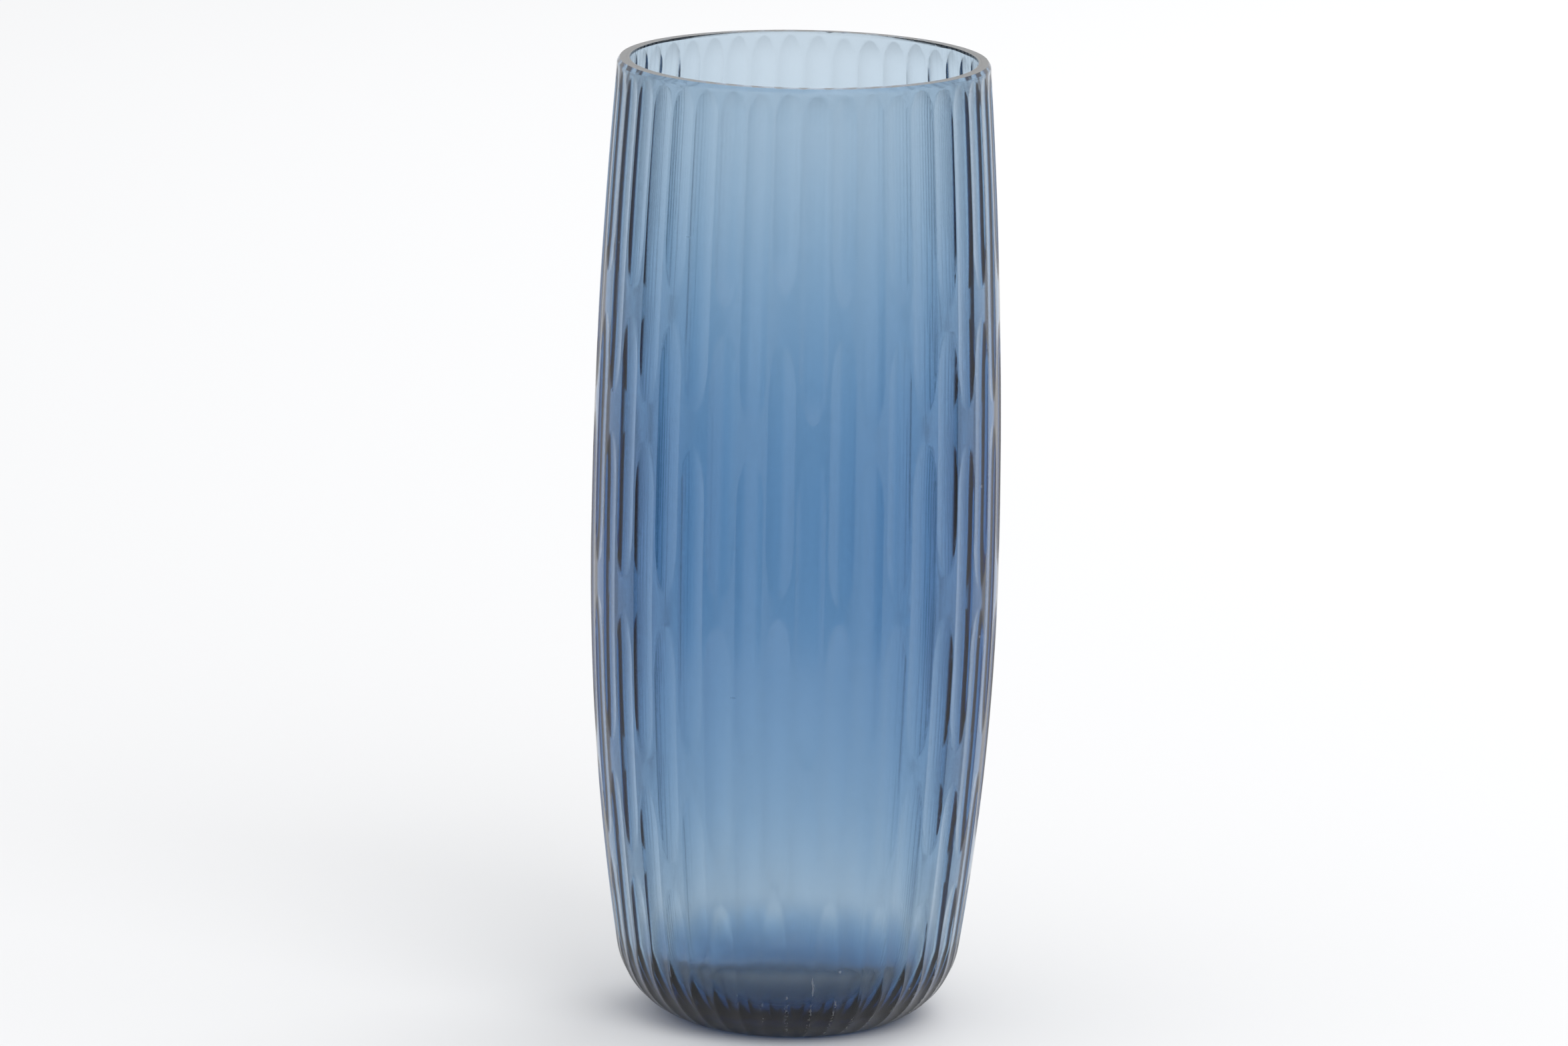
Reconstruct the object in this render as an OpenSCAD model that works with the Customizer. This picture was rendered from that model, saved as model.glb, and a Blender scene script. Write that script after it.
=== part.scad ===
// Hand-cut cased glass vase: a smoke-grey outer casing fused over a blue lining.
// The vase's axis is the Z axis, and its foot stands on z = 0.

/* [Body] */
// Overall height, foot to rim
height = 330; // [260:5:400]
// Outer radius at the rim
rim_r = 62.8; // [60:0.2:65]
// Outer radius at the widest point of the barrel
belly_r = 69.4; // [68:0.2:73]
// Height of the widest point above the foot
belly_z = 165; // [130:5:190]
// Radius of the arc that the barrel follows below its widest point
lower_arc_r = 920; // [800:20:1200]
// Radius of the rounded heel between barrel and foot
heel_r = 30; // [24:1:34]
// How much of the heel is ground away to make the flat foot
foot_grind = 1.2; // [0.6:0.2:2]
// Bevel on the ground rim's outer edge
rim_bevel = 0.8; // [0.4:0.1:1.2]

/* [Glass] */
// Thickness of the smoke casing in the wall
casing_wall = 3.1; // [2.6:0.1:4]
// Thickness of the smoke casing under the lining
casing_base = 2.5; // [2:0.5:5]
// Thickness of the blue lining at the rim
lining_rim = 1; // [0.8:0.1:1.6]
// Thickness of the blue lining at the widest point, where the blown glass is fuller
lining_belly = 2.5; // [1.8:0.1:3]
// Thickness of the blue lining over the base
lining_base = 5; // [4:0.5:7]
// Radius of the round between wall and floor where the two layers meet
seam_heel_r = 24; // [22:1:27]
// Radius of the round between wall and floor inside the vase
bore_heel_r = 25; // [23:1:28]

/* [Cut flutes] */
// Number of flute columns around the body, cut in two alternating patterns
columns = 42; // [38:2:46]
// Radius of the cutting wheel's edge, across a flute
wheel_edge_r = 17; // [15:0.5:19]
// Depth of a flute where it meets the rim
rim_cut = 0.3; // [0.2:0.1:0.8]
// Depth of a flute where the wall turns into the heel
heel_cut = 1; // [0.6:0.1:1.2]
// Uncut bridge between two flutes of one column
bridge = 10; // [7:1:13]

/* [Hidden] */

smoke = [0.45, 0.47, 0.48];
blue = [0.33, 0.52, 0.70];
$fn = 180;
// Facets round the edge of the cutting wheel's section.
wheel_fn = 72;
// A cutter that takes off a surface starts this far outside it.
clear = 1;

// Steps that an arc of the wall and of a heel is drawn in.
wall_steps = 8;
heel_steps = 10;
// Radius of the bore's own arc below the widest point, where the lining thins again.
bore_lower_arc_r = 1090;

// Heights of the bridges in the two patterns, as shares of the height, from the rim down.
even_bridges = [0.648, 0.287];
odd_bridges = [0.765, 0.465, 0.175];
// A cutter is this wide and this high, and runs on this far past the stretch it cuts.
cutter_w = 10.6;
cutter_h = 2.4;
cutter_spare = 8;

// Radius of the arc that turns upright over a rise while it moves in by an inset.
function arc_through(rise, inset) = (rise ^ 2 + inset ^ 2) / (2 * inset);
upper_rise = height - belly_z;
upper_arc_r = arc_through(upper_rise, belly_r - rim_r);
seam_belly_r = belly_r - casing_wall;
bore_belly_r = seam_belly_r - lining_belly;
// Each surface of the wall is a flat floor, a heel arc, and two long arcs that meet upright at
// the widest point: [widest radius, upper arc, lower arc, heel arc, floor, ground away, thins].
// The last value is how much the layer outside the surface thins from the belly to the rim.
outer = [belly_r, upper_arc_r, lower_arc_r, heel_r, 0, foot_grind, 0];
seam = [seam_belly_r, upper_arc_r - casing_wall, lower_arc_r - casing_wall,
    seam_heel_r, casing_base, 0, 0];
bore = [bore_belly_r, upper_arc_r - casing_wall - lining_belly, bore_lower_arc_r,
    bore_heel_r, casing_base + lining_base, 0, lining_belly - lining_rim];

// Centre of a surface's heel arc, which touches its lower arc from inside.
function heel_z(s) = s[4] + s[3] - s[5];
function heel_x(s) = s[0] - s[2] + sqrt((s[2] - s[3]) ^ 2 - (belly_z - heel_z(s)) ^ 2);
// Angle below the horizontal at which the two arcs touch.
function touch_angle(s) = asin((belly_z - heel_z(s)) / (s[2] - s[3]));

// How far a surface has moved out at a height above the widest point, in one smooth ease.
function eased(s, z) = s[6] * (1 - cos(180 * (z - belly_z) / upper_rise)) / 2;

// Points along an arc, from one angle to another.
function arc(centre, r, from, to, steps) =
    [for (i = [0 : steps]) centre + r * [cos(from + (to - from) * i / steps),
        sin(from + (to - from) * i / steps)]];

// Half outline of what lies inside a surface, from its floor up to the rim plane.
module outline(s) {
    touch = -touch_angle(s);
    foot = -asin(1 - s[5] / s[3]);
    heel = arc([heel_x(s), heel_z(s)], s[3], foot, touch, heel_steps);
    lower = arc([s[0] - s[2], belly_z], s[2], touch, 0, wall_steps);
    upper = [for (p = arc([s[0] - s[1], belly_z], s[1], 0, asin(upper_rise / s[1]), wall_steps))
        [p.x + eased(s, p.y), p.y]];
    rim = upper[wall_steps];
    polygon(concat(
        [[0, s[4]]],
        heel,
        [for (i = [1 : wall_steps]) lower[i]],
        [for (i = [1 : wall_steps - 1]) upper[i]],
        [[rim.x, height], [0, height]]
    ));
}

// Outer radius of the uncut barrel at a height above the heel.
function barrel_r(z) = z > belly_z
    ? belly_r - upper_arc_r + sqrt(upper_arc_r ^ 2 - (z - belly_z) ^ 2)
    : belly_r - lower_arc_r + sqrt(lower_arc_r ^ 2 - (z - belly_z) ^ 2);
// Heights of a bridge's upper and lower edge.
function above(share) = share * height + bridge / 2;
function below(share) = share * height - bridge / 2;

// Cross-section of a cut: the wheel's round edge, no larger than a flute needs.
module cutter_section() {
    intersection() {
        translate([wheel_edge_r, 0]) circle(r = wheel_edge_r, $fn = wheel_fn);
        translate([-clear, -cutter_w / 2]) square([cutter_h + clear, cutter_w]);
    }
}

// Straight gouge along one meridian, through two points [radius, height].
module gouge(low, high) {
    run = high - low;
    translate([low.x, 0, low.y])
        rotate([0, atan2(run.x, run.y), 0])
            translate([0, 0, -cutter_spare])
                linear_extrude(norm(run) + 2 * cutter_spare)
                    cutter_section();
}

// Flute on the wall: its floor is the chord of the barrel's arc between two heights.
module wall_flute(low, high) {
    gouge([barrel_r(low), low], [barrel_r(high), high]);
}

// Flute that starts on the wall and runs out over the rim.
module rim_flute(low) {
    gouge([barrel_r(low), low], [rim_r - rim_cut, height]);
}

// Flute that starts on the wall and runs out round the top of the heel.
module heel_flute(high) {
    touch = touch_angle(outer);
    heel_top = [heel_x(outer) + heel_r * cos(touch), heel_z(outer) - heel_r * sin(touch)];
    gouge(heel_top - [heel_cut, 0], [barrel_r(high), high]);
}

// Repeats a cut on every second column, from the first one named.
module on_columns(first) {
    for (i = [first : 2 : columns - 1])
        rotate([0, 0, i * 360 / columns])
            children();
}

// Ring that takes the sharp outer corner off the rim.
module rim_bevel_ring() {
    rotate_extrude()
        polygon([
            [rim_r - rim_bevel, height + clear],
            [rim_r - rim_bevel, height],
            [rim_r, height - 2 * rim_bevel],
            [rim_r + clear, height - 2 * rim_bevel],
            [rim_r + clear, height + clear]
        ]);
}

// The casing is cut ring by ring, each ring standing clear of the last one.
module casing_blank() {
    rotate_extrude() difference() {
        outline(outer);
        outline(seam);
    }
}

module middle_ring_cut() {
    difference() {
        casing_blank();
        on_columns(0) wall_flute(above(even_bridges[1]), below(even_bridges[0]));
        on_columns(1) wall_flute(above(odd_bridges[1]), below(odd_bridges[0]));
    }
}

module rim_ring_cut() {
    difference() {
        middle_ring_cut();
        on_columns(0) rim_flute(above(even_bridges[0]));
        on_columns(1) rim_flute(above(odd_bridges[0]));
    }
}

module lower_ring_cut() {
    difference() {
        rim_ring_cut();
        on_columns(0) heel_flute(below(even_bridges[1]));
        on_columns(1) wall_flute(above(odd_bridges[2]), below(odd_bridges[1]));
    }
}

module smoke_casing() {
    color(smoke)
        difference() {
            lower_ring_cut();
            on_columns(1) heel_flute(below(odd_bridges[2]));
            rim_bevel_ring();
        }
}

module blue_lining() {
    color(blue)
        rotate_extrude() difference() {
            outline(seam);
            outline(bore);
        }
}

smoke_casing();
blue_lining();
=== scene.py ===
import math

import bpy
import numpy as np
from mathutils import Matrix, Vector


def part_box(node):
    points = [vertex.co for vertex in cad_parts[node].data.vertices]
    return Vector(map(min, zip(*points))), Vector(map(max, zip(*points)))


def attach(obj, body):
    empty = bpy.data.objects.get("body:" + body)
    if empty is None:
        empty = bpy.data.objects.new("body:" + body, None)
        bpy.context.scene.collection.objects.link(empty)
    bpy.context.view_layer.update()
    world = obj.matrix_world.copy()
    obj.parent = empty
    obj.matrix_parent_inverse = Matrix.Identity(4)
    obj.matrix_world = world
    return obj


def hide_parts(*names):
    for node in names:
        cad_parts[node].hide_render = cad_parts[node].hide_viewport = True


# A tall barrel vase of cased glass: a smoke casing with hand-cut flutes over a blue lining.
# Metres, +Z up, the foot on z = 0, as in the CAD model.

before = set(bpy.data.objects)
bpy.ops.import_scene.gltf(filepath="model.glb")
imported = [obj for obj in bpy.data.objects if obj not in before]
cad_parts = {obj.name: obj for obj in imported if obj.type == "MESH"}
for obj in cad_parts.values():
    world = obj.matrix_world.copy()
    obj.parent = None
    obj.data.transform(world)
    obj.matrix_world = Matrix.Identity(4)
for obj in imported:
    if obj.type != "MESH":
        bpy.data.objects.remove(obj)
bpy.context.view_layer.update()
CASING_LOW, CASING_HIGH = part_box("smoke_casing")

# ---------------------------------------------------------------- driving sizes
MM = 0.001
HEIGHT = CASING_HIGH.z
RIM_R = 62.8 * MM
BELLY_R = 69.4 * MM
BELLY_Z = HEIGHT / 2
CASING_WALL = 3.1 * MM
CASING_BASE = 2.5 * MM
LINING_RIM = 1.0 * MM
LINING_BELLY = 2.5 * MM
LINING_BASE = 5.0 * MM
LOWER_ARC_R = 920 * MM
BORE_LOWER_ARC_R = 1090 * MM
HEEL_R = 30 * MM
FOOT_GRIND = 1.2 * MM
SEAM_HEEL_R = 24 * MM
BORE_HEEL_R = 25 * MM
RIM_BEVEL = 0.8 * MM
# The two layers are one glass, so the meshes stop just short of each other.
FUSED_GAP = 0.03 * MM
# Faces this close to the rim plane are the ground rim.
RIM_DEPTH = 0.02 * MM
# Small flakes off the rim's inner edge: place round the rim, half width, and depth.
CHIPS = ((82, 1.6, 0.35 * MM), (77, 1.1, 0.2 * MM), (143, 1.3, 0.2 * MM), (318, 1.4, 0.25 * MM))

# ---------------------------------------------------------------- cut flutes
COLUMNS = 42
PITCH = 2 * math.pi / COLUMNS
LINES = 12                      # mesh lines to a column
EDGE_R = 17 * MM                # edge radius of the cutting wheel, across a flute
RUN_OUT = 19 * MM               # length of a flute's tapering end on the wall
SHORT_RUN_OUT = 9 * MM          # the same under the rim and above the foot
BRIDGES = {                     # heights of the uncut bridges, for even and odd columns
    0: (0.648, 0.287),
    1: (0.765, 0.465, 0.175),
}
BRIDGE = 10 * MM
RIDGE_FROM = 0.8                # a ridge begins this far from a flute's middle to its edge
UNDER_RIM = 1.5 * MM            # the top flutes end this far below the rim
OVER_FOOT = 0.8 * MM            # and the lowest ones this far above the foot
FLUTE_LINES = 4                 # lines on each side that follow a flute's own outline
LINE_PLACES = (0, 0.30, 0.57, 0.80, 1.0)
NARROWEST, WIDEST = 0.14, 0.90  # a flute's outline, as shares of its column's half width

# The cutter's hand: the same small errors every time.
HAND = np.random.default_rng(11)
END_SLIP = 2.2 * MM             # how far a flute's end strays from its place
END_SLIP_MOST = 4.5 * MM
LOWER_END_SHARE = 0.6           # lower ends keep this share, and stray a little on their own
LOWER_END_SLIP = 1.5 * MM
RIM_END_SHARE = 0.25            # ends at the rim and at the foot stray less
FOOT_END_SHARE = 0.3
LEAN, LEAN_MOST = 0.010, 0.02   # how far a column's line is off, as shares of the pitch
THINNEST_SHARE = 0.86           # the narrowest column's cut, as a share of the full one

# ---------------------------------------------------------------- mesh rows
TAPER_ROWS = (0, 0.35, 1.0, 2.0, 3.4, 5.2, 7.5, 10.5, 14.0, 18.5)  # mm from a flute's end
RIM_ROWS = (0.0, 0.5, 1.0)      # mm from the rim
EVEN_ROWS = 9 * MM
HEEL_ROWS = 16
CLOSEST_ROWS = 0.3 * MM
SEAM_ROWS = (18, 10)            # rows on the wall and on the heel
SKIN_ROWS = (40, 16)
BORE_ROWS = (90, 30)
LINING_LINES = 8                # the lining's mesh lines to a column
ON_SURFACE = 0.01 * MM          # a point this close to a surface is on it
SMOOTH_BELOW = 14               # degrees: faces that meet flatter than this are shaded smooth


def arc_radius(rise, inset):
    """Radius of the arc that turns upright over a rise while it moves in by inset."""
    return (rise ** 2 + inset ** 2) / (2 * inset)


class Surface:
    """One surface of the wall: a floor, a heel arc, and two long arcs up to the rim.

    The layer outside it may thin from the belly to the rim, in one smooth ease.
    """

    def __init__(self, belly, upper, lower, heel, floor, ground=0.0, thins=0.0):
        self.belly, self.upper, self.lower = belly, upper, lower
        self.heel, self.floor, self.thins = heel, floor, thins
        self.heel_z = floor + heel - ground
        drop = BELLY_Z - self.heel_z
        self.heel_x = belly - lower + math.sqrt((lower - heel) ** 2 - drop ** 2)
        self.touch = math.asin(drop / (lower - heel))
        self.foot = math.asin(1 - ground / heel)
        self.lengths = (
            upper * math.asin((HEIGHT - BELLY_Z) / upper),
            lower * self.touch,
            heel * (self.foot - self.touch),
        )
        self.length = sum(self.lengths)

    def at(self, s):
        """Radius, height and outward normal at distances s down from the rim."""
        s = np.asarray(s, float)
        above, below, _ = self.lengths
        up = (above - s) / self.upper
        down = (s - above) / self.lower
        turn = self.touch + (s - above - below) / self.heel
        zones = [s < above, s < above + below]
        angle = np.select(zones, [up, -down], -turn)
        arc = np.select(zones, [self.upper, self.lower], self.heel)
        x = np.select(zones, [self.belly - self.upper, self.belly - self.lower], self.heel_x)
        z = np.select(zones, [BELLY_Z, BELLY_Z], self.heel_z)
        out = np.stack([np.cos(angle), np.sin(angle)], -1)
        height = z + arc * out[..., 1]
        climb = np.clip((height - BELLY_Z) / (HEIGHT - BELLY_Z), 0, 1)
        eased = self.thins * (1 - np.cos(math.pi * climb)) / 2
        return x + arc * out[..., 0] + eased, height, out


UPPER_ARC_R = arc_radius(HEIGHT - BELLY_Z, BELLY_R - RIM_R)
SEAM_BELLY_R = BELLY_R - CASING_WALL
BORE_BELLY_R = SEAM_BELLY_R - LINING_BELLY
outer = Surface(BELLY_R, UPPER_ARC_R, LOWER_ARC_R, HEEL_R, 0.0, FOOT_GRIND)
seam = Surface(SEAM_BELLY_R, UPPER_ARC_R - CASING_WALL, LOWER_ARC_R - CASING_WALL,
               SEAM_HEEL_R, CASING_BASE)
bore = Surface(BORE_BELLY_R, UPPER_ARC_R - CASING_WALL - LINING_BELLY, BORE_LOWER_ARC_R,
               BORE_HEEL_R, CASING_BASE + LINING_BASE, thins=LINING_BELLY - LINING_RIM)


# ---------------------------------------------------------------- turning a profile
def turned(name, profile, steps):
    """A closed body of revolution: a chain of points (radius, height) spun about Z."""
    bpy.ops.object.select_all(action="DESELECT")
    bpy.ops.mesh.primitive_plane_add(size=MM, location=(profile[0][0], 0, profile[0][1]))
    piece = bpy.context.object
    piece.name = piece.data.name = name
    bpy.ops.object.transform_apply(location=True)
    bpy.ops.object.mode_set(mode="EDIT")
    bpy.ops.mesh.select_all(action="SELECT")
    bpy.ops.mesh.merge(type="CENTER")
    for here, there in zip(profile, profile[1:]):
        move = (there[0] - here[0], 0, there[1] - here[1])
        bpy.ops.mesh.extrude_vertices_move(TRANSFORM_OT_translate={"value": move})
    bpy.ops.mesh.select_all(action="SELECT")
    bpy.ops.mesh.spin(steps=steps, angle=2 * math.pi, center=(0, 0, 0), axis=(0, 0, 1))
    bpy.ops.mesh.select_all(action="SELECT")
    bpy.ops.mesh.remove_doubles(threshold=0.002 * MM)
    bpy.ops.mesh.normals_make_consistent(inside=False)
    bpy.ops.object.mode_set(mode="OBJECT")
    return piece


def chain(surface, stations):
    """Points of a surface at distances down from the rim."""
    radius, height, _ = surface.at(stations)
    return list(zip(radius.tolist(), height.tolist()))


def spread(surface, wall, heel):
    """Stations down a plain surface: even on the wall, closer round the heel."""
    above, below, round_part = surface.lengths
    return np.concatenate([
        np.linspace(0, above + below, wall, endpoint=False),
        np.linspace(above + below, surface.length, heel),
    ])


# ---------------------------------------------------------------- the fluted casing
def flute_ends(pattern):
    """Upper and lower end of each flute of a pattern, as distances down from the rim."""
    edges = [UNDER_RIM]
    for share in BRIDGES[pattern]:
        middle = HEIGHT * (1 - share)
        edges += [middle - BRIDGE / 2, middle + BRIDGE / 2]
    edges.append(outer.length - OVER_FOOT)
    return np.array(edges).reshape(-1, 2)


def casing_stations():
    """Mesh rows of the fluted wall: close together where a flute tapers to its end."""
    steps = np.array(TAPER_ROWS) * MM
    rows = [row * MM for row in RIM_ROWS]
    for pattern in BRIDGES:
        for top, bottom in flute_ends(pattern):
            rows += list(top + steps) + list(bottom - steps)
    rows += list(np.arange(0, outer.length, EVEN_ROWS))
    above, below, _ = outer.lengths
    rows += list(np.linspace(above + below, outer.length, HEEL_ROWS))
    rows = np.sort([r for r in rows if 0 <= r <= outer.length])
    kept = [rows[0]]
    for r in rows[1:]:
        if r - kept[-1] > CLOSEST_ROWS:
            kept.append(r)
    kept[-1] = outer.length
    return np.array(kept)


def cut_depth(station, tops, bottoms, full):
    """Depth of a column's flute along its middle line; each end is a wheel's run-out."""
    depth = np.zeros_like(station)
    last = tops.shape[-1] - 1
    for k in range(last + 1):
        top_run = SHORT_RUN_OUT if k == 0 else RUN_OUT
        low_run = SHORT_RUN_OUT if k == last else RUN_OUT
        from_top = np.clip((station - tops[..., k]) / top_run, 0, 1)
        from_low = np.clip((bottoms[..., k] - station) / low_run, 0, 1)
        share = (1 - (1 - from_top) ** 2) * (1 - (1 - from_low) ** 2)
        depth = np.maximum(depth, full * share)
    return depth


def cut_flutes(piece, stations):
    """Moves the turned wall's points onto the cut surface, column by column."""
    count = len(piece.data.vertices)
    co = np.empty(count * 3)
    piece.data.vertices.foreach_get("co", co)
    co = co.reshape(-1, 3)
    radius, height, _ = outer.at(stations)
    flat = np.hypot(co[:, 0], co[:, 1])
    gap = np.hypot(flat[:, None] - radius[None, :], co[:, 2:3] - height[None, :])
    row = gap.argmin(1)
    wall = gap.min(1) < ON_SURFACE
    row = row[wall]

    step = 2 * math.pi / (COLUMNS * LINES)
    index = np.rint(np.arctan2(co[wall, 1], co[wall, 0]) / step).astype(int)
    column = np.floor_divide(index + LINES // 2, LINES)
    line = index - column * LINES
    column = column % COLUMNS

    # Each column's own small errors: where its flutes end, its line, its depth.
    ends = {p: flute_ends(p) for p in BRIDGES}
    slip = {}
    for c in range(COLUMNS):
        e = ends[c % 2].ravel()
        err = HAND.normal(0, END_SLIP, len(e)).clip(-END_SLIP_MOST, END_SLIP_MOST)
        own_slip = HAND.normal(0, LOWER_END_SLIP, len(err[1:-1:2]))
        err[1:-1:2] = err[1:-1:2] * LOWER_END_SHARE + own_slip
        err[0] = abs(err[0]) * RIM_END_SHARE
        err[-1] = -abs(err[-1]) * FOOT_END_SHARE
        slip[c] = (e, err)
    lean = HAND.normal(0, LEAN, COLUMNS).clip(-LEAN_MOST, LEAN_MOST) * PITCH
    share = HAND.uniform(THINNEST_SHARE, 1.0, COLUMNS)

    station = stations[row]
    own = np.zeros(len(row))
    left = np.zeros(len(row))
    right = np.zeros(len(row))
    for c in range(COLUMNS):
        mine = column == c
        for out, who in ((own, c), (left, (c - 1) % COLUMNS), (right, (c + 1) % COLUMNS)):
            e, err = slip[who]
            out[mine] = np.interp(station[mine], [0, *e, outer.length], [0, *err, 0])
    side = line / (LINES / 2)
    edge = np.where(side < 0, (own + left) / 2, (own + right) / 2)
    weight = np.abs(side) ** 2
    moved = np.clip(station + own * (1 - weight) + edge * weight, 0, outer.length)
    moved = np.where((row == 0) | (row == len(stations) - 1), station, moved)

    r, z, out = outer.at(moved)
    half = r * PITCH / 2
    curve = (1 / EDGE_R + 1 / r) / 2
    full = curve * half ** 2 * share[column] ** 2
    depth = np.zeros(len(row))
    for pattern in BRIDGES:
        mine = column % 2 == pattern
        tops = np.stack([ends[pattern][:, 0] + slip[c][1][0::2] for c in column[mine]])
        bottoms = np.stack([ends[pattern][:, 1] + slip[c][1][1::2] for c in column[mine]])
        depth[mine] = cut_depth(moved[mine], tops, bottoms, full[mine])

    # The inner lines follow the flute's outline; the others share what is left.
    off = np.abs(line)
    outline = np.clip(np.sqrt(depth / curve) / half, NARROWEST, WIDEST)
    inside = np.interp(off, range(FLUTE_LINES + 1), LINE_PLACES) * outline
    beyond = outline + (1 - outline) * (off - FLUTE_LINES) / (LINES // 2 - FLUTE_LINES)
    across = np.where(off <= FLUTE_LINES, inside, beyond) * np.sign(line)
    dip = np.clip(depth - curve * (across * half) ** 2, 0, None)
    before = (column - 1) % COLUMNS
    after = (column + 1) % COLUMNS
    edge_lean = np.where(across < 0, (lean[column] + lean[before]) / 2,
                         (lean[column] + lean[after]) / 2)
    angle = (column * PITCH + across * PITCH / 2
             + lean[column] * (1 - np.abs(across)) + edge_lean * np.abs(across))
    r = r - dip * out[:, 0]
    z = z - dip * out[:, 1]
    co[wall] = np.stack([r * np.cos(angle), r * np.sin(angle), z], -1)
    piece.data.vertices.foreach_set("co", co.ravel())
    ridge = np.zeros(count, np.float32)
    ridge[wall] = np.clip((np.abs(across) - RIDGE_FROM) / (1 - RIDGE_FROM), 0, 1)
    piece.data.attributes.new("ridge", "FLOAT", "POINT").data.foreach_set("value", ridge)
    piece.data.update()


def bevel_rim(piece):
    """Takes the sharp outer corner off the rim, as its grinding does."""
    for v in piece.data.vertices:
        below = HEIGHT - v.co.z
        flat = math.hypot(v.co.x, v.co.y)
        if below < 2 * RIM_BEVEL and flat > RIM_R - CASING_WALL / 2:
            shrink = 1 - RIM_BEVEL * (1 - below / (2 * RIM_BEVEL)) ** 1.5 / flat
            v.co.x *= shrink
            v.co.y *= shrink


def chip_rim(piece, edge_r):
    """Takes small flakes off one edge of the ground rim."""
    for v in piece.data.vertices:
        flat = math.hypot(v.co.x, v.co.y)
        if v.co.z < HEIGHT - 0.1 * MM or abs(flat - edge_r) > 0.1 * MM:
            continue
        place = math.degrees(math.atan2(v.co.y, v.co.x))
        for middle, half, depth in CHIPS:
            v.co.z -= depth * max(0.0, 1 - (abs(place - middle) / half) ** 2)


def mark_open(piece, is_fused):
    """Marks each face 1 where the glass meets air, and 0 where it is fused to the other layer."""
    count = len(piece.data.polygons)
    centre = np.empty(count * 3)
    piece.data.polygons.foreach_get("center", centre)
    centre = centre.reshape(-1, 3)
    flat = np.hypot(centre[:, 0], centre[:, 1])
    fused = is_fused(flat, centre[:, 2])
    mark = piece.data.attributes.new("open_face", "FLOAT", "FACE")
    mark.data.foreach_set("value", np.where(fused, 0.0, 1.0).astype(np.float32))
    rim = centre[:, 2] > HEIGHT - RIM_DEPTH
    piece.data.polygons.foreach_set("material_index", rim.astype(np.int32))


def radius_at(surface):
    """A function that gives a surface's radius at a height above its floor."""
    r, z, _ = surface.at(np.linspace(surface.length, 0, 800))
    return lambda height: np.interp(height, z, r)


def disc(surface, height):
    """Points across a flat floor, from its edge to the axis."""
    edge = surface.at(surface.length)[0].item()
    return [(edge * share, height) for share in (0.66, 0.33, 0.0)]


def make_casing():
    """The smoke casing: the fluted wall outside, and the face that the lining fuses to."""
    stations = casing_stations()
    points = (
        [(seam.at(0.0)[0].item(), HEIGHT)]
        + chain(outer, stations)
        + disc(outer, 0.0)
        + disc(seam, CASING_BASE)[::-1]
        + chain(seam, spread(seam, *SEAM_ROWS)[::-1])
    )
    piece = turned("smoke_casing_glass", points, COLUMNS * LINES)
    cut_flutes(piece, stations)
    bevel_rim(piece)
    wall_r = radius_at(outer)
    mark_open(piece, lambda flat, z: (z > CASING_BASE - 0.1 * MM)
               & (z < HEIGHT - ON_SURFACE) & (flat < wall_r(z) - CASING_WALL / 2))
    return piece


def make_lining():
    """The blue lining: a plain blown layer, just clear of the casing, with the bore in it."""
    skin = Surface(SEAM_BELLY_R - FUSED_GAP, UPPER_ARC_R - CASING_WALL,
                   LOWER_ARC_R - CASING_WALL, SEAM_HEEL_R, CASING_BASE + FUSED_GAP)
    points = (
        chain(skin, spread(skin, *SKIN_ROWS))
        + disc(skin, CASING_BASE + FUSED_GAP)
        + disc(bore, bore.floor)[::-1]
        + chain(bore, spread(bore, *BORE_ROWS)[::-1])
    )
    piece = turned("blue_lining_glass", points + points[:1], COLUMNS * LINING_LINES)
    bore_r = radius_at(bore)
    mark_open(piece, lambda flat, z: (z < HEIGHT - ON_SURFACE)
               & ((flat > bore_r(z) + LINING_RIM / 2) | (z < bore.floor - LINING_BASE / 2)))
    chip_rim(piece, bore.at(0.0)[0].item())
    return piece


# ---------------------------------------------------------------- materials
GLASS_IOR = 1.5
SMOKE_PER_M = (37, 38, 40)       # absorption per metre of glass, red to blue
BLUE_PER_M = (412, 246, 121)
SCUFF_IOR = 2.3                  # crushed glass in a scuff shines back more than the polish
SCUFF_TOP = 42 * MM              # scuffs begin this far up the heel's ridges
SCUFF_FULL = 18 * MM             # and are thickest from here down
SCUFF_ROUGHNESS = 0.6
BUMP_DEPTH = 0.03 * MM
GRAIN_DEPTH = 0.02 * MM
UPRIGHT_STRETCH = 0.12           # waves and hairlines run up the vase, this much drawn out
# Sizes of the patterns, as repeats to a metre.
WAVES_SCALE, HAIR_SCALE, PATCH_SCALE, SEED_SCALE = 95.0, 1300.0, 55.0, 46.0
GRAIN_SCALE, CLOUD_SCALE = 2200.0, 160.0
# Where each pattern begins and is full, in its noise's own values.
HAIRLINE, PATCHY, SEED = (0.55, 0.60), (0.47, 0.55), (0.028, 0.018)
SEED_SHARE = 0.8                 # a seed's mark, as a share of a scuff's
MARK_ROUGHNESS = 0.35            # added to the polish by a mark, and by the patches
PATCH_ROUGHNESS = 0.012
MARK_SINK = -0.15                # a mark's depth, as a share of BUMP_DEPTH
RIM_ROUGHNESS = (0.40, 0.62)


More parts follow.
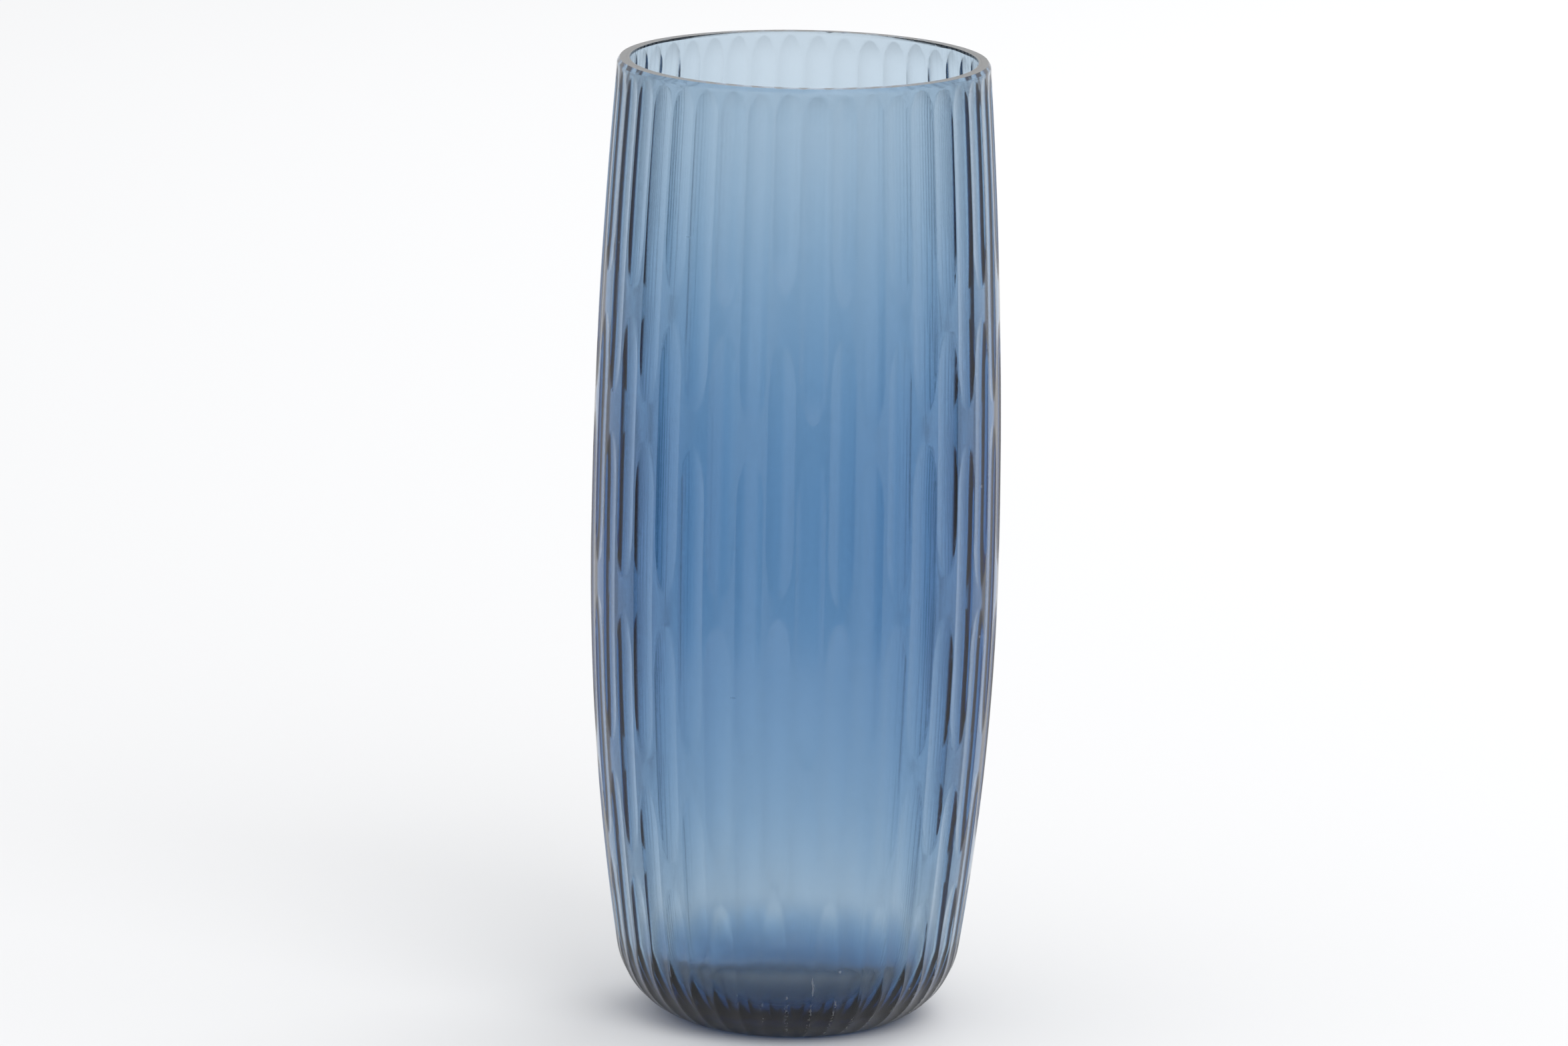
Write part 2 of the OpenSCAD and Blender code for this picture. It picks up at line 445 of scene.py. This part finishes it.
class Nodes:
    """Adds nodes to a tree, sets their values and links them, one call to a node."""

    def __init__(self, tree):
        self.tree = tree

    def add(self, kind, inputs=None, **settings):
        node = self.tree.nodes.new(kind)
        for name, value in settings.items():
            setattr(node, name, value)
        for socket, value in (inputs or {}).items():
            if isinstance(value, bpy.types.NodeSocket):
                self.tree.links.new(value, node.inputs[socket])
            else:
                node.inputs[socket].default_value = value
        return node

    def place(self):
        return self.add("ShaderNodeTexCoord").outputs["Object"]

    def maths(self, operation, a, b=0.0):
        return self.add("ShaderNodeMath", {0: a, 1: b}, operation=operation).outputs[0]

    def band(self, value, low, high, to_low=0.0, to_high=1.0):
        return self.add("ShaderNodeMapRange", {
            "Value": value, "From Min": low, "From Max": high,
            "To Min": to_low, "To Max": to_high,
        }, interpolation_type="SMOOTHSTEP").outputs["Result"]


def group(name, inputs, outputs):
    """An empty node group with named value inputs and outputs."""
    tree = bpy.data.node_groups.new(name, "ShaderNodeTree")
    for label in inputs:
        tree.interface.new_socket(label, in_out="INPUT", socket_type="NodeSocketFloat")
    for label in outputs:
        tree.interface.new_socket(label, in_out="OUTPUT", socket_type="NodeSocketFloat")
    made = Nodes(tree)
    return made, made.add("NodeGroupInput").outputs, made.add("NodeGroupOutput").inputs


def glass_wear():
    """Handling marks and making marks of old hand-cut glass, in real millimetres.

    Polish is the roughness of the clean surface, Waves the depth of the slow unevenness that
    the fire or the polishing leaves, and Scuffs where the glass has been knocked.
    """
    n, given, result = group("glass_wear", ("Polish", "Waves", "Scuffs"),
                             ("Roughness", "Height", "Marks"))
    place = n.place()
    upright = n.add("ShaderNodeMapping", {"Vector": place, "Scale": (1, 1, UPRIGHT_STRETCH)})
    slow = n.add("ShaderNodeTexNoise", {
        "Vector": upright.outputs["Vector"], "Scale": WAVES_SCALE, "Detail": 1.0})
    hair = n.add("ShaderNodeTexNoise", {
        "Vector": upright.outputs["Vector"], "Scale": HAIR_SCALE, "Detail": 2.0})
    patch = n.add("ShaderNodeTexNoise", {"Vector": place, "Scale": PATCH_SCALE, "Detail": 3.0})
    seeds = n.add("ShaderNodeTexVoronoi", {"Vector": place, "Scale": SEED_SCALE})
    hairline = n.band(hair.outputs["Fac"], *HAIRLINE)
    patchy = n.band(patch.outputs["Fac"], *PATCHY)
    rubbed = n.maths("MULTIPLY", n.maths("MULTIPLY", hairline, patchy), given["Scuffs"])
    seed = n.band(seeds.outputs["Distance"], *SEED)
    marks = n.maths("MAXIMUM", rubbed, n.maths("MULTIPLY", seed, SEED_SHARE))
    rough = n.maths("ADD", given["Polish"], n.maths("MULTIPLY", marks, MARK_ROUGHNESS))
    rough = n.maths("ADD", rough, n.maths("MULTIPLY", patchy, PATCH_ROUGHNESS))
    wave = n.maths("MULTIPLY", slow.outputs["Fac"], given["Waves"])
    height = n.maths("ADD", wave, n.maths("MULTIPLY", marks, MARK_SINK))
    for socket, value in (("Roughness", rough), ("Height", height), ("Marks", marks)):
        n.tree.links.new(value, result[socket])
    return n.tree


def shaded(name, tint):
    """A material with its nodes, its shader, and the colour that a plain view gives it."""
    mat = bpy.data.materials.new(name)
    mat.use_nodes = True
    mat.diffuse_color = (*tint, 1)
    return mat, Nodes(mat.node_tree), mat.node_tree.nodes["Principled BSDF"]


def glass(name, tint, per_metre, polish, waves, scuffed):
    """Clear coloured glass: the colour is absorbed in its depth, not painted on."""
    mat, n, shader = shaded(name, tint)
    link = n.tree.links.new
    shader.inputs["Base Color"].default_value = (1, 1, 1, 1)
    shader.inputs["Transmission Weight"].default_value = 1.0
    shader.inputs["IOR"].default_value = GLASS_IOR
    shader.inputs["Coat IOR"].default_value = SCUFF_IOR
    shader.inputs["Coat Roughness"].default_value = SCUFF_ROUGHNESS
    is_open = n.add("ShaderNodeAttribute", attribute_name="open_face").outputs["Fac"]
    bend = n.add("ShaderNodeMapRange", {
        "Value": is_open, "To Min": 1.0, "To Max": GLASS_IOR}).outputs["Result"]
    link(bend, shader.inputs["IOR"])

    wear = n.add("ShaderNodeGroup", node_tree=WEAR)
    wear.inputs["Polish"].default_value = polish
    wear.inputs["Waves"].default_value = waves
    if scuffed:
        ridge = n.add("ShaderNodeAttribute", attribute_name="ridge").outputs["Fac"]
        place = n.place()
        height = n.add("ShaderNodeSeparateXYZ", {"Vector": place}).outputs["Z"]
        low = n.band(height, SCUFF_TOP, SCUFF_FULL)
        link(n.maths("MULTIPLY", ridge, low), wear.inputs["Scuffs"])
    else:
        wear.inputs["Scuffs"].default_value = 0.0
    link(n.maths("MULTIPLY", wear.outputs["Roughness"], is_open), shader.inputs["Roughness"])
    link(n.maths("MULTIPLY", wear.outputs["Marks"], is_open), shader.inputs["Coat Weight"])
    bump = n.add("ShaderNodeBump", {
        "Height": wear.outputs["Height"], "Distance": BUMP_DEPTH, "Strength": 1.0})
    link(bump.outputs["Normal"], shader.inputs["Normal"])

    most = max(per_metre) * 1.15
    depth = n.add("ShaderNodeVolumeAbsorption", {
        "Density": most, "Color": (*[1 - c / most for c in per_metre], 1)})
    link(depth.outputs["Volume"], n.tree.nodes["Material Output"].inputs["Volume"])
    return mat


def ground(name, pale, dull):
    """The ground rim: a fine satin grain, clouded between two greys."""
    mat, n, shader = shaded(name, pale)
    place = n.place()
    grain = n.add("ShaderNodeTexNoise", {"Vector": place, "Scale": GRAIN_SCALE, "Detail": 2.0})
    cloud = n.add("ShaderNodeTexNoise", {"Vector": place, "Scale": CLOUD_SCALE, "Detail": 2.0})
    shade = n.add("ShaderNodeMixRGB", {
        "Fac": n.band(cloud.outputs["Fac"], 0.35, 0.65), "Color1": (*dull, 1),
        "Color2": (*pale, 1)})
    bump = n.add("ShaderNodeBump", {
        "Height": grain.outputs["Fac"], "Distance": GRAIN_DEPTH, "Strength": 1.0})
    n.tree.links.new(shade.outputs["Color"], shader.inputs["Base Color"])
    n.tree.links.new(bump.outputs["Normal"], shader.inputs["Normal"])
    rough = n.band(grain.outputs["Fac"], 0.3, 0.7, *RIM_ROUGHNESS)
    n.tree.links.new(rough, shader.inputs["Roughness"])
    return mat


WEAR = glass_wear()
SMOKE = glass("smoke_glass", (0.42, 0.42, 0.40), SMOKE_PER_M, 0.13, 0.5, scuffed=True)
BLUE = glass("blue_glass", (0.22, 0.42, 0.66), BLUE_PER_M, 0.02, 1.0, scuffed=False)
SMOKE_RIM = ground("smoke_ground_rim", (0.50, 0.52, 0.53), (0.41, 0.43, 0.44))
BLUE_RIM = ground("blue_ground_rim", (0.46, 0.51, 0.56), (0.38, 0.43, 0.49))


def dress(piece, mats, node):
    """Gives a piece its materials and its shading, and puts it in its CAD node's place."""
    piece.data.materials.clear()
    for mat in mats:
        piece.data.materials.append(mat)
    bpy.ops.object.select_all(action="DESELECT")
    piece.select_set(True)
    bpy.context.view_layer.objects.active = piece
    bpy.ops.object.shade_smooth_by_angle(angle=math.radians(SMOOTH_BELOW))
    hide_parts(node)
    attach(piece, "root")


dress(make_casing(), (SMOKE, SMOKE_RIM), "smoke_casing")
dress(make_lining(), (BLUE, BLUE_RIM), "blue_lining")


# ---------------------------------------------------------------- studio
TABLE_REACH = 0.48               # the white table's edge, as reflections in the vase see it
TABLE_WHITE = (0.82, 0.82, 0.825)
# painted reflection: the dark that the reflection-only ring puts in the glass
PAINTED_REFLECTION_DARK = (0.02, 0.02, 0.022)
REFLECTION_GAPS, REFLECTION_GAP_TURN = 5.0, 0.8  # paler gaps to a full turn of the painted reflection ring, and their turn
REFLECTION_EDGE = (0.15, 0.65)         # cosine of the angle from straight ahead, where the painted dark reflection fades
GAP_EDGE = (-0.7, 0.1)
GAP_SHADE = 0.35                 # how dark a gap stays, as a share of the painted dark reflection
CLOTH_ROUGHNESS = 0.7
FLOOR_R = 18
SKY_COLOUR = (0.99, 0.995, 1, 1)
SKY_STRENGTH = 0.89
LENS = 221.3                     # mm, on a 36 mm wide sensor
CAMERA_PLACE = (0, -3.2, 0.853)
LOOK_DOWN, LOOK_LEFT, ROLL = 12.04, 0.07, 1.06  # degrees


def plain(name, colour):
    """Matt paper or cloth of one colour, for what isn't part of the vase."""
    mat, _, shader = shaded(name, colour)
    shader.inputs["Base Color"].default_value = (*colour, 1)
    shader.inputs["Roughness"].default_value = CLOTH_ROUGHNESS
    shader.inputs["Specular IOR Level"].default_value = 0.0
    return mat


def circle(name, radius, height, fill):
    """A circle that lies flat at a height."""
    bpy.ops.object.select_all(action="DESELECT")
    bpy.ops.mesh.primitive_circle_add(vertices=128, radius=radius, fill_type=fill,
                                      location=(0, 0, height))
    made = bpy.context.object
    made.name = name
    return made


def build_floor():
    """The white table."""
    floor = circle("studio_floor", FLOOR_R, -0.1 * MM, "NGON")
    floor.data.materials.append(plain("studio_floor", TABLE_WHITE))


def painted_reflection_ring_shader():
    """Painted reflection for the glass: dark in front of the vase with paler gaps in it, and as
    pale as the table elsewhere.
    """
    mat, n, shader = shaded("painted_reflection_ring", PAINTED_REFLECTION_DARK)
    place = n.place()
    split = n.add("ShaderNodeSeparateXYZ", {"Vector": place})
    ahead = n.maths("MULTIPLY", split.outputs["Y"], -1.0)
    sideways = n.maths("ARCTAN2", split.outputs["X"], ahead)
    reach = n.add("ShaderNodeVectorMath", {0: place}, operation="LENGTH").outputs["Value"]
    in_front = n.band(n.maths("COSINE", sideways), *REFLECTION_EDGE)
    turned_by = n.maths("SUBTRACT", n.maths("MULTIPLY", sideways, REFLECTION_GAPS), REFLECTION_GAP_TURN)
    gaps = n.maths("COSINE", turned_by)
    covered = n.band(gaps, *GAP_EDGE, GAP_SHADE, 1.0)
    beyond = n.band(reach, TABLE_REACH, 1.3 * TABLE_REACH)
    # painted reflection: the share of the ring that shows dark in the glass
    painted_dark_share = n.maths("MULTIPLY", n.maths("MULTIPLY", in_front, covered), beyond)
    shade = n.add("ShaderNodeMixRGB", {
        "Fac": painted_dark_share, "Color1": (*TABLE_WHITE, 1), "Color2": (*PAINTED_REFLECTION_DARK, 1)})
    n.tree.links.new(shade.outputs["Color"], shader.inputs["Base Color"])
    shader.inputs["Roughness"].default_value = CLOTH_ROUGHNESS
    shader.inputs["Specular IOR Level"].default_value = 0.0
    return mat


def build_painted_reflection_ring():
    """A ring on the floor beyond the table that only reflections see, painting dark and pale
    reflections on the glass.
    """
    ring = circle("painted_reflection_ring", TABLE_REACH, 0.5 * MM, "NOTHING")
    bpy.ops.object.mode_set(mode="EDIT")
    bpy.ops.mesh.select_all(action="SELECT")
    bpy.ops.mesh.extrude_region_move()
    bpy.ops.transform.resize(value=(30, 30, 1))
    bpy.ops.object.mode_set(mode="OBJECT")
    ring.data.materials.append(painted_reflection_ring_shader())
    # seen only by glossy rays, so the ring is a painted reflection
    for seen_by in ("camera", "diffuse", "transmission", "shadow", "volume_scatter"):
        setattr(ring, "visible_" + seen_by, False)


def soft_lamp(name, size, power, place, aim):
    """A round soft lamp that points at a place."""
    lamp = bpy.data.lights.new(name, "AREA")
    lamp.shape = "DISK"
    lamp.size = size
    lamp.energy = power
    made = bpy.data.objects.new(name, lamp)
    bpy.context.scene.collection.objects.link(made)
    made.location = place
    made.rotation_euler = (Vector(aim) - made.location).to_track_quat("-Z", "Y").to_euler()
    return made


def light_studio(scene):
    """A pale sky, a key lamp over the table behind the vase, and a fill in front of it."""
    world = bpy.data.worlds.new("soft_studio")
    world.use_nodes = True
    sky = world.node_tree.nodes["Background"]
    sky.inputs["Color"].default_value = SKY_COLOUR
    sky.inputs["Strength"].default_value = SKY_STRENGTH
    scene.world = world
    soft_lamp("soft_key", 2.2, 23, (1.1, 1.9, 2.2), (0, 1.0, 0))
    fill = soft_lamp("soft_fill", 1.8, 18, (0.9, -1.6, 1.7), (0, 0, 0))
    fill.visible_glossy = False


def place_camera(scene):
    """A long lens above the table, looking a little down, and held a degree off level."""
    lens = bpy.data.cameras.new("camera")
    lens.sensor_width = 36
    lens.lens = LENS
    lens.clip_start, lens.clip_end = 0.05, 100
    camera = bpy.data.objects.new("camera", lens)
    scene.collection.objects.link(camera)
    scene.camera = camera
    look_down, look_left, roll = (math.radians(a) for a in (LOOK_DOWN, LOOK_LEFT, ROLL))
    camera.matrix_world = (
        Matrix.Translation(CAMERA_PLACE)
        @ Matrix.Rotation(look_left, 4, "Z")
        @ Matrix.Rotation(math.pi / 2 - look_down, 4, "X")
        @ Matrix.Rotation(roll, 4, "Z")
    )


scene = bpy.context.scene
build_floor()
build_painted_reflection_ring()
light_studio(scene)
place_camera(scene)
scene.view_settings.view_transform = "Standard"
# Light crosses both walls and turns back inside the glass, so the paths are long.
scene.cycles.max_bounces = 40
scene.cycles.transmission_bounces = 40
scene.cycles.glossy_bounces = 12
scene.cycles.transparent_max_bounces = 16
